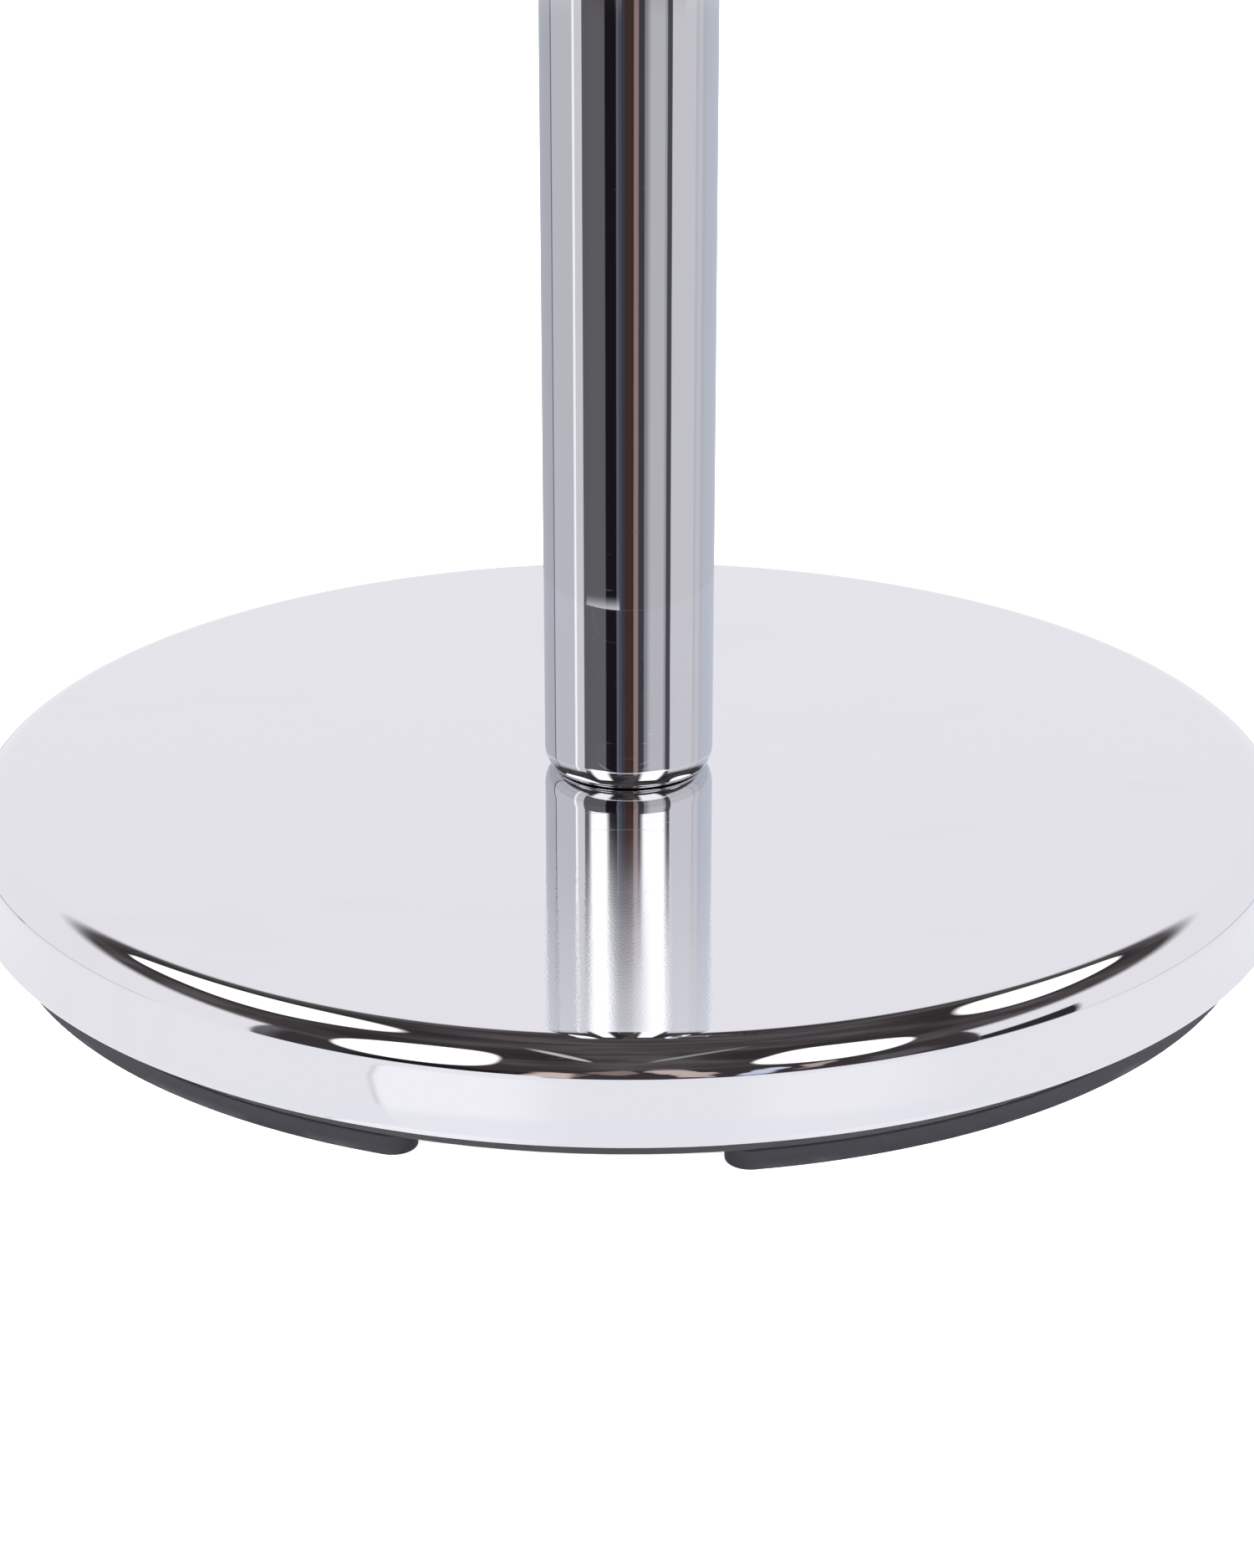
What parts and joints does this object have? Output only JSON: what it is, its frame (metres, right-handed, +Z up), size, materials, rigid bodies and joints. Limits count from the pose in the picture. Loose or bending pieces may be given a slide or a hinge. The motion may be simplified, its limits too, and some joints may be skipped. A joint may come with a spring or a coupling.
{
  "type": "flag pole stand",
  "caption": "Round weighted base with a mirror-chromed cover on floor pads, carrying a chromed socket column whose side screw clamps a flag pole.",
  "frame": {"origin": "centre of the base on the floor, under the column's axis", "axes": "+Z up along the column's axis out of the pole socket; +X points out along the clamp screw's knob; -Y is the front"},
  "size_m": [0.298, 0.298, 0.259],
  "materials": {
    "mirror_chrome": "bright polished chrome plate",
    "black_plastic": "satin moulded black plastic",
    "foot_rubber": "matt black rubber",
    "cast_iron": "sand-cast, dip-painted dark grey",
    "zinc_steel": "bright zinc plate",
    "black_nylon": "moulded black nylon",
    "white_nylon": "natural nylon"
  },
  "bodies": {
    "stand": {"base_cover": "mirror_chrome", "base_tray": "black_plastic", "tray_screws": "zinc_steel", "foot_pad_1": "foot_rubber", "foot_pad_2": "foot_rubber", "foot_pad_3": "foot_rubber", "foot_pad_4": "foot_rubber", "weight_block": "cast_iron", "centre_bolt": "zinc_steel", "spring_washer": "zinc_steel", "bolt_washer": "zinc_steel", "column_tube": "mirror_chrome", "column_plug": "zinc_steel", "pole_seat": "black_nylon", "socket_bush": "black_nylon", "top_ferrule": "mirror_chrome", "clamp_boss": "mirror_chrome"},
    "clamp_tip": {"clamp_pad": "white_nylon"},
    "clamp_handle": {"clamp_screw": "zinc_steel", "clamp_knob": "black_plastic"}
  },
  "joints": [
    {"name": "clamp_advance", "type": "slide", "parent": "stand", "child": "clamp_tip", "axis": [-1, 0, 0], "range_m": [0, 0.008]},
    {"name": "clamp_turn", "type": "hinge", "parent": "clamp_tip", "child": "clamp_handle", "pos_m": [0.035, 0, 0.2265], "axis": [-1, 0, 0], "range_deg": [0, 2304]}
  ],
  "couplings": [
    {"joint": "clamp_advance", "follows": "clamp_turn", "m_per_rad": 0.00019894}
  ]
}
